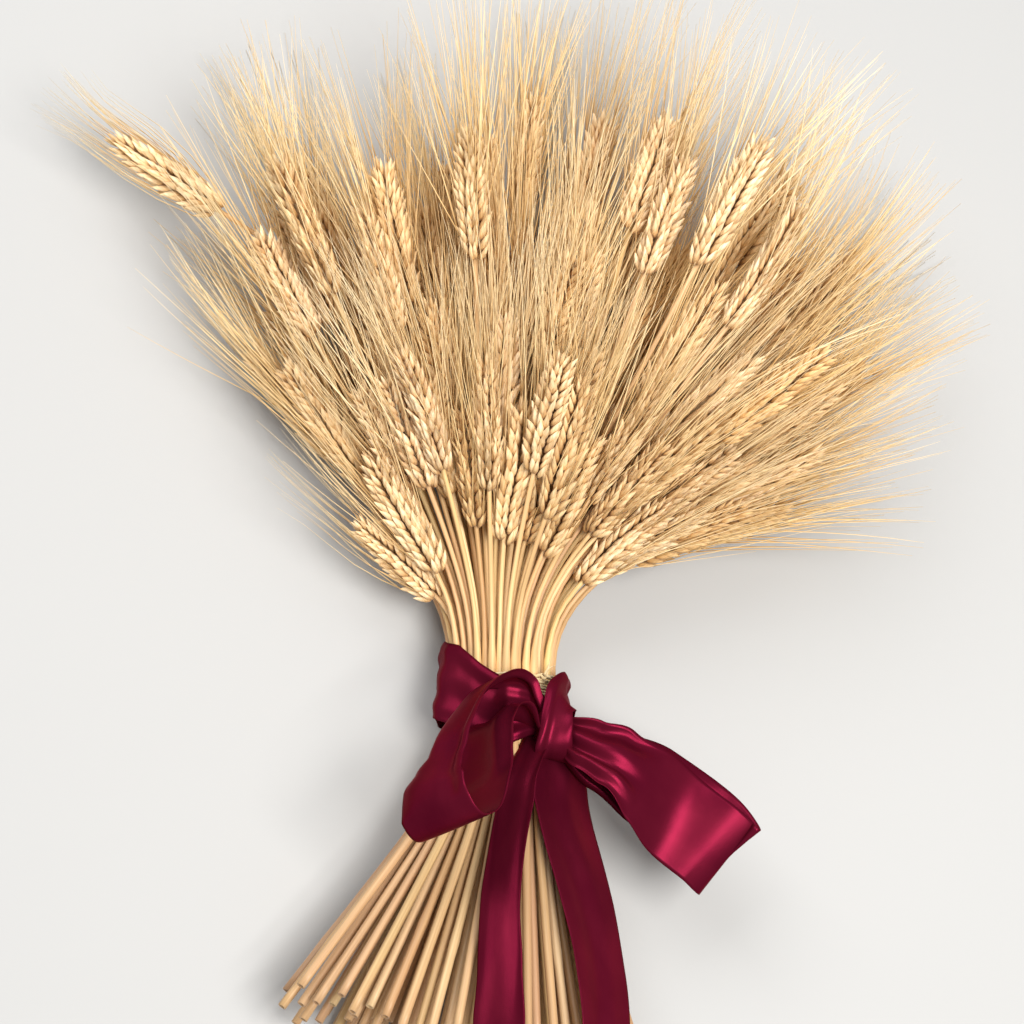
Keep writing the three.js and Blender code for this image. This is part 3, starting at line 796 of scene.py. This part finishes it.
LOOP_RIGHT = [
    ((19, -14, kz + 1), (0.05, -0.97, 0.1), 13),
    ((31, -21, kz + 9), (-0.26, -0.87, 0.35), 24),
    ((42.5, -27, kz + 13), (-0.27, -0.86, 0.38), 32),
    ((56, -38, kz + 10.5), (-0.31, -0.92, 0.12), 38),
    ((70, -51, kz + 5.5), (-0.46, -0.87, -0.15), 38),
    ((84, -62, kz + 6.5), (-0.57, -0.77, -0.25), 38),
    ((91, -67, kz + 3), (-0.58, -0.76, -0.28), 38),
    ((86, -56, kz - 3.5), (-0.5, -0.82, -0.25), 38),
    ((60, -36, kz - 3.5), (-0.35, -0.9, -0.15), 36),
    ((39, -25, kz - 2.5), (-0.22, -0.97, -0.05), 28),
    ((19, -16, kz - 2), (-0.05, -0.97, -0.05), 14),
]
TAIL_LEFT = [
    ((11, -16, kz - 2), (0.9, 0, 0.44), 12),
    lying(2, -34, -26, 13),
    lying(-2, -48, -30, 16),
    lying(-7, -68, -30, 16),
    lying(-11, -90, -30, 17),
    lying(-12.5, -117, -30, 19),
    lying(-13.5, -140, -30, 22),
    lying(-14, TAIL_END, -30, 24),
]
TAIL_RIGHT = [
    ((16, -20, kz - 3), (0.9, 0, -0.44), 18),
    lying(19.5, -31, 32, 30),
    lying(21.5, -43, 36, 35),
    lying(24.5, -60, 38, 35),
    lying(29, -84, 38, 34),
    lying(33, -112, 38, 32),
    lying(34.5, -137, 38, 31),
    lying(35.5, TAIL_END, 38, 31),
]
# The turn's last stretch comes over the right shoulder, twists and goes over the knot and under it.
SHOULDER = [
    ((26, -1, kz - 12), (0.1, 0.98, -0.1), 24),
    ((24.5, 1, kz - 3), (-0.15, 0.97, 0.1), 22),
    ((20.5, 0, kz + 5), (-0.65, 0.7, 0.2), 17),
    ((17.5, -6, kz + 8.5), (-0.92, 0.35, 0.1), 13),
    ((16.5, -15, kz + 9), (-0.99, 0.05, 0), 14),
    ((16, -23, kz + 6.5), (-1, -0.05, 0), 16),
    ((16, -27, kz), (-1, 0, 0), 16),
    ((16, -24, kz - 5), (-1, 0, 0), 14),
]
# The ribbon's stretches in turn: stations, cells along it, gathers, seed and the gathers' greatest height.
RIBBON_STRETCHES = [
    (TAIL_LEFT, 110, 1.0, 11, 0.6),
    (LOOP_LEFT, 180, 1.5, 12, 1.1),
    (SHOULDER, 80, 1.5, 13, 0.7),
    (LOOP_RIGHT, 150, 2.5, 14, 1.9),
    (TAIL_RIGHT, 110, 1.0, 15, 0.7),
]
WEAVE = 26  # cells across the ribbon


def gathered(bm, layers, place, width, folds, seed, most, along_v):
    """Gives a grid of the ribbon its place.

    place(t) gives the middle, the width's direction and the surface's upward direction at each share t of the
    length. folds waves, as high as most, take up what the narrowed width spares.
    """
    verts, uv, rest = layers
    rng = random.Random(seed)
    co = np.array([v.co for v in verts])
    across, t = co[:, 0], co[:, 1] + 0.5
    middle, sideways, out = place(t)
    seen = width(t)
    spare = np.sqrt(np.maximum(0, 2 * ((RIBBON_WIDTH / seen) ** 2 - 1)))
    height = np.minimum(seen / (2 * math.pi * folds) * spare, most)
    phase = rng.uniform(0, 2 * math.pi)
    wave = 2 * math.pi * folds * across + phase + 0.9 * np.sin(2 * math.pi * across + rng.uniform(0, 6))
    wave = np.sin(wave + 0.8 * np.sin(3.1 * t * math.pi + rng.uniform(0, 6)))
    billow = 0.5 * np.sin(2 * math.pi * (1.7 * t + rng.random()) + 2.2 * across)
    lift = height * wave + billow * np.clip(seen / RIBBON_WIDTH, 0, 1) ** 2
    points = (middle + sideways * (across * seen)[:, None] + out * lift[:, None] + PLACE) * MM
    for v, p, a, s in zip(verts, points, across, along_v(t)):
        v.co, v[rest] = p, (a * RIBBON_WIDTH * MM, s * MM, 0)
        for loop in v.link_loops:
            loop[uv].uv = (a + 0.5, s / RIBBON_WIDTH)


def ribbon_strip(bm, uv, rest, stations, steps, folds, seed, most, start):
    """One stretch of the ribbon through its stations. Gives the length at its end."""
    points, ways, widths = (np.array([s[i] for s in stations], float) for i in range(3))
    last = len(stations) - 1

    def middle(t):
        return smooth_line(points, t * last)

    def place(t):
        along = middle(np.minimum(t + 0.004, 1)) - middle(np.maximum(t - 0.004, 0))
        along /= np.linalg.norm(along, axis=1)[:, None]
        sideways = smooth_line(ways, t * last)
        sideways -= along * (sideways * along).sum(1)[:, None]
        sideways /= np.linalg.norm(sideways, axis=1)[:, None]
        return middle(t), sideways, np.cross(along, sideways)

    def width(t):
        n = np.clip(np.floor(t * last).astype(int), 0, last - 1)
        return lerp(widths[n], widths[n + 1], smooth(0, 1, t * last - n))

    shares = np.linspace(0, 1, 400)
    length = lengths(middle(shares))
    verts = bmesh.ops.create_grid(bm, x_segments=WEAVE, y_segments=steps, size=0.5)["verts"]

    def along_v(t):
        return start + np.interp(t, shares, length)

    gathered(bm, (verts, uv, rest), place, width, folds, seed, most, along_v)
    return start + length[-1]


# The turn starts and ends at the knot. Its lower and upper edge along Y go by the angle round the waist, in
# degrees from the right side over the top.
KNOT_ANGLE, TURN_LENGTH, TURN_CELLS, TURN_CORNERS = 52, 150, 150, 120
TURN_EDGES = [
    (KNOT_ANGLE - 360, -14, 0),
    (0, -12, 8),
    (30, -13, 9),
    (KNOT_ANGLE, -14, 0),
    (75, -17, 5),
    (100, -22, 7),
    (125, -20, 14),
    (150, -12, 23),
    (180, -6, 27),
    (225, -11, 24),
    (270, -16, 20),
    (315, -15, 16),
    (360, -12, 8),
    (KNOT_ANGLE + 360, -14, 0),
]


def ribbon_turn(bm, uv, rest, start):
    """The turn round the waist.

    It fans out from the knot, goes round the left side and the back, and comes in again on the right.
    """
    ring = outline(WRAP_OUT - 0.45, TURN_CORNERS)
    ring = np.hstack([ring.T, ring[:1].T]).T  # closed
    heart = ring.mean(0)
    angles = np.degrees(np.unwrap(np.arctan2(ring[:, 1] - heart[1], ring[:, 0] - heart[0])))
    keys, low, high = (np.array(c, float) for c in zip(*TURN_EDGES))

    def place(t):
        angle = KNOT_ANGLE + 360 * t
        at = np.interp((angle - angles[0]) % 360, angles - angles[0], np.arange(TURN_CORNERS + 1))
        n = np.floor(at).astype(int) % TURN_CORNERS
        xz = lerp(ring[n], ring[n + 1], (at % 1)[:, None])
        out = np.stack([xz[:, 0] - heart[0], 0 * t, xz[:, 1] - heart[1]], 1)
        out /= np.linalg.norm(out, axis=1)[:, None]
        y = (np.interp(angle, keys, low) + np.interp(angle, keys, high)) / 2
        # The lower edge stands off the straws at the left.
        flared = (np.exp(-(((angle - 168) / 22) ** 2)) * 0.2)[:, None]
        sideways = (0.0, 1.0, 0.0) - out * flared
        sideways /= np.linalg.norm(sideways, axis=1)[:, None]
        return np.stack([xz[:, 0], y, xz[:, 1]], 1) + out * (0.5 + 12 * flared), sideways, out

    def width(t):
        angle = KNOT_ANGLE + 360 * t
        return np.interp(angle, keys, high) - np.interp(angle, keys, low)

    verts = bmesh.ops.create_grid(bm, x_segments=WEAVE, y_segments=TURN_CELLS, size=0.5)["verts"]
    gathered(bm, (verts, uv, rest), place, width, 3, 3, 0.45, lambda t: start + TURN_LENGTH * t)
    return start + TURN_LENGTH


def ribbon():
    bm = bmesh.new()
    uv = bm.loops.layers.uv.new("UVMap")
    rest = bm.verts.layers.float_vector.new("rest")
    length = 0
    for stretch in RIBBON_STRETCHES:
        length = ribbon_strip(bm, uv, rest, *stretch, length)
    length = ribbon_turn(bm, uv, rest, length)
    return to_mesh(bm, "ribbon"), length


def knot_heart():
    """The squeezed satin under the knot's turn, where the loops cross."""
    bm = bmesh.new()
    rest = bm.verts.layers.float_vector.new("rest")
    bmesh.ops.create_icosphere(bm, subdivisions=4, radius=1)
    for v in bm.verts:
        # Fills the ball out to a cushion.
        size = (abs(v.co.x) ** 3 + abs(v.co.y) ** 3 + abs(v.co.z) ** 3) ** (1 / 3)
        p = v.co / size
        p *= 1 + 0.06 * math.sin(9 * p.x + 2 * p.z)
        v[rest] = (p.x * 7 * MM, p.y * 11 * MM, 0)
        half = Vector((p.x * 7, p.y * 9.5, p.z * 6.2))
        v.co = (half + Vector((KNOT_X, KNOT_Y - 1, KNOT_Z + 1)) + Vector(PLACE)) * MM
    return to_mesh(bm, "knot_heart")


def satin_material():
    skin = Skin(
        "burgundy_satin", 0.33, Metallic=0.5, IOR=1.1, Specular_IOR_Level=0.3,
        Specular_Tint=(0.75, 0.03, 0.12, 1), Anisotropic=0.5,
    )
    cloudy = skin.noise((45, 30, 45))
    colour = skin.ramp(cloudy, [(0.3, (0.092, 0.0040, 0.0155)), (0.7, (0.128, 0.0072, 0.0215))])
    ribs = skin.noise((300, 5200, 300), 2)
    split = skin.nodes.new("ShaderNodeSeparateXYZ")
    skin.links.new(skin.layer("rest", "Vector"), split.inputs["Vector"])
    from_middle = skin.nodes.new("ShaderNodeMath")
    from_middle.operation = "ABSOLUTE"
    skin.links.new(split.outputs["X"], from_middle.inputs[0])
    hem = skin.ramp(from_middle.outputs[0], [
        (0.0, (0, 0, 0)),
        (0.0178, (0, 0, 0)),
        (0.0184, (1, 1, 1)),
        (0.019, (0.4, 0.4, 0.4)),
    ])
    return skin.finished(colour, skin.mixed("ADD", 1.0, ribs, hem), 0.25, 0.00012)


def twine_material():
    skin = Skin("pale_twine", 0.75, Specular_IOR_Level=0.25, Sheen_Weight=0.3)
    fibres = skin.noise((2600, 500, 2600))
    cloudy = skin.ramp(skin.noise((90, 60, 90), 2), [(0.3, (0.66, 0.50, 0.27)), (0.7, (0.86, 0.72, 0.46))])
    colour = skin.tinted(cloudy, fibres, [(0.3, (0.62, 0.52, 0.42)), (0.6, (1.1, 1.08, 1.02))], 0.8)
    return skin.finished(colour, fibres, 0.5, 0.0002)


def placed(name, mesh, made, node=None):
    mesh.materials.append(made)
    piece = bpy.data.objects.new(name, mesh)
    bpy.context.scene.collection.objects.link(piece)
    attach(piece, "root")
    if node:
        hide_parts(node)
    return piece


placed("twine", twine(), twine_material(), "twine_tie")
satin = satin_material()
ribbon_mesh, ribbon_length = ribbon()
bow = placed("ribbon", ribbon_mesh, satin, "ribbon_bow")
cloth = bow.modifiers.new("satin_thickness", "SOLIDIFY")
cloth.thickness, cloth.offset = 0.00035, 0
placed("knot_heart", knot_heart(), satin)

# ---- floor, light and camera ----
def floor():
    bm = bmesh.new()
    bmesh.ops.create_grid(bm, x_segments=2, y_segments=2, size=3)
    mesh = to_mesh(bm, "floor")
    skin = Skin("pale_floor", 0.7)
    skin.shader.inputs["Base Color"].default_value = (0.47, 0.47, 0.465, 1)
    mesh.materials.append(skin.made)
    piece = bpy.data.objects.new("floor", mesh)
    bpy.context.scene.collection.objects.link(piece)


def lamp(name, where, aim, size, power, colour=(1, 1, 1)):
    light = bpy.data.lights.new(name, "AREA")
    light.shape, light.size, light.energy, light.color = "SQUARE", size, power, colour
    lamp_object = bpy.data.objects.new(name, light)
    lamp_object.location = where
    lamp_object.rotation_euler = (Vector(aim) - Vector(where)).to_track_quat("-Z", "Y").to_euler()
    bpy.context.scene.collection.objects.link(lamp_object)


floor()
lamp("key_light", where=(0.3, -0.35, 1.45), aim=(0, 0, 0.05), size=0.7, power=26, colour=(1, 0.98, 0.95))
lamp("fill_light", where=(-0.65, 0.9, 1.3), aim=(0, 0.12, 0.05), size=1.1, power=17)
world = bpy.data.worlds.new("soft_room")
world.use_nodes = True
room = world.node_tree.nodes["Background"]
room.inputs["Color"].default_value = (1, 1, 1, 1)
room.inputs["Strength"].default_value = 0.42
bpy.context.scene.world = world
bpy.context.scene.view_settings.view_transform = "Standard"

TIE = (PLACE + (0, 0, 30)) * MM  # the middle of the waist
CAMERA_AWAY, CAMERA_SEES = 1.35, math.radians(18.6)
CAMERA_AIM = Vector(TIE) + Vector((0.002, 0.083, 0))
LOOK_UP, LOOK_ASIDE = math.radians(14), math.radians(11)  # from below and from the left of straight down
FILM = 36
camera_data = bpy.data.cameras.new("camera")
camera = bpy.data.objects.new("camera", camera_data)
camera_data.lens = FILM / (2 * math.tan(CAMERA_SEES / 2))
back = Vector((
    -math.sin(LOOK_ASIDE),
    -math.sin(LOOK_UP) * math.cos(LOOK_ASIDE),
    math.cos(LOOK_UP) * math.cos(LOOK_ASIDE),
))
camera.location = CAMERA_AIM + back * CAMERA_AWAY
right = Vector((0, 1, 0)).cross(back).normalized()
camera.rotation_euler = Matrix([right, back.cross(right).normalized(), back]).transposed().to_euler()
bpy.context.scene.collection.objects.link(camera)
bpy.context.scene.camera = camera
